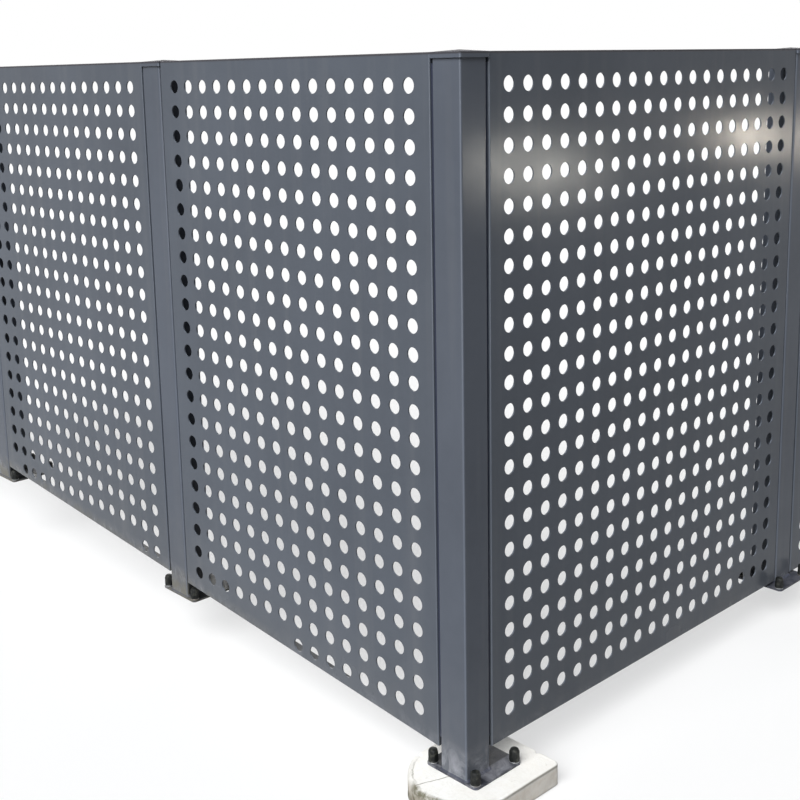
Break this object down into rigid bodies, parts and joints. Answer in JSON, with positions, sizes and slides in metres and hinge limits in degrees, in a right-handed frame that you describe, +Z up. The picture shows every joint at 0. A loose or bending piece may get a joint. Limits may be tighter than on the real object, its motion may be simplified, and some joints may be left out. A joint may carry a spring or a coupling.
{
  "type": "perforated aluminium panel fence",
  "caption": "Corner of a fence of perforated cassette panels between capped square posts on base plates; the left run follows climbing ground.",
  "frame": {"origin": "underside of the footing pad, on the corner post's axis", "axes": "+X along the level right run away from the corner, +Y along the climbing left run away from the corner, +Z up"},
  "size_m": [3.733, 3.07, 1.4665],
  "materials": {
    "post_coat": "anthracite powder coat, semi-gloss",
    "panel_coat": "anthracite powder coat, semi-gloss",
    "dark_strip": "dark anodised, matt",
    "pale_stone": "pale cast stone, matt"
  },
  "bodies": {
    "root": {"footing_pad": "pale_stone", "corner_post": "post_coat", "corner_cap": "post_coat", "corner_base_plate": "post_coat", "left_post_1": "post_coat", "left_post_2": "post_coat", "left_post_3": "post_coat", "left_cap_1": "post_coat", "left_cap_2": "post_coat", "left_cap_3": "post_coat", "left_base_plate_1": "post_coat", "left_base_plate_2": "post_coat", "left_base_plate_3": "post_coat", "right_post_1": "post_coat", "right_post_2": "post_coat", "right_post_3": "post_coat", "right_cap_1": "post_coat", "right_cap_2": "post_coat", "right_cap_3": "post_coat", "right_base_plate_1": "post_coat", "right_base_plate_2": "post_coat", "right_base_plate_3": "post_coat", "left_panel_1": "panel_coat", "left_panel_2": "panel_coat", "left_panel_3": "panel_coat", "right_panel_1": "panel_coat", "right_panel_2": "panel_coat", "right_panel_3": "panel_coat", "left_strip_1a": "dark_strip", "left_strip_1b": "dark_strip", "left_strip_2a": "dark_strip", "left_strip_2b": "dark_strip", "left_strip_3a": "dark_strip", "left_strip_3b": "dark_strip", "right_strip_1a": "dark_strip", "right_strip_1b": "dark_strip", "right_strip_2a": "dark_strip", "right_strip_2b": "dark_strip", "right_strip_3a": "dark_strip", "right_strip_3b": "dark_strip"}
  },
  "joints": []
}
